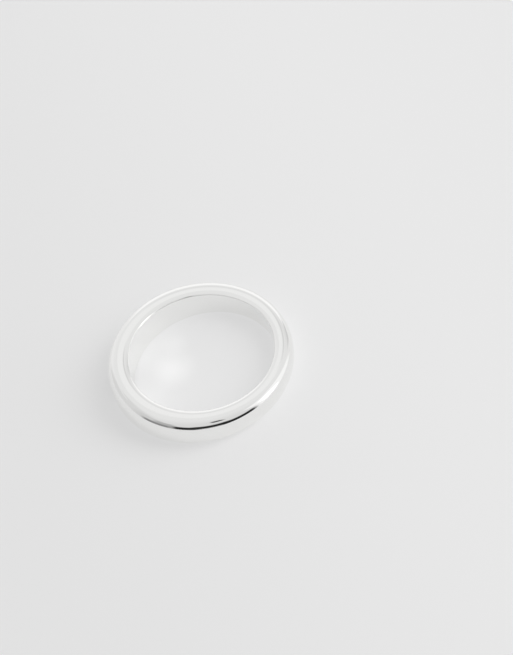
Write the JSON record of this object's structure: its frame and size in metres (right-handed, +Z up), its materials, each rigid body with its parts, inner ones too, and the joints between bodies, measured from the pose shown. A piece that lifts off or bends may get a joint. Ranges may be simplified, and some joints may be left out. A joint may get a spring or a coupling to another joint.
{
  "type": "stackable finger ring",
  "caption": "Polished silver finger ring: one domed band that tapers from a bold front to a slim back, lying on its side.",
  "frame": {"origin": "middle of the ring's box, at the level of the surface it lies on", "axes": "+Z up from the surface, -Y towards the bold front of the band, +Y towards its slim back"},
  "size_m": [0.0224, 0.022, 0.0045],
  "materials": {
    "polished_silver": "mirror-polished silver, with a slightly softer polish inside the bore"
  },
  "bodies": {
    "root": {"ring_band": "polished_silver"}
  },
  "joints": []
}
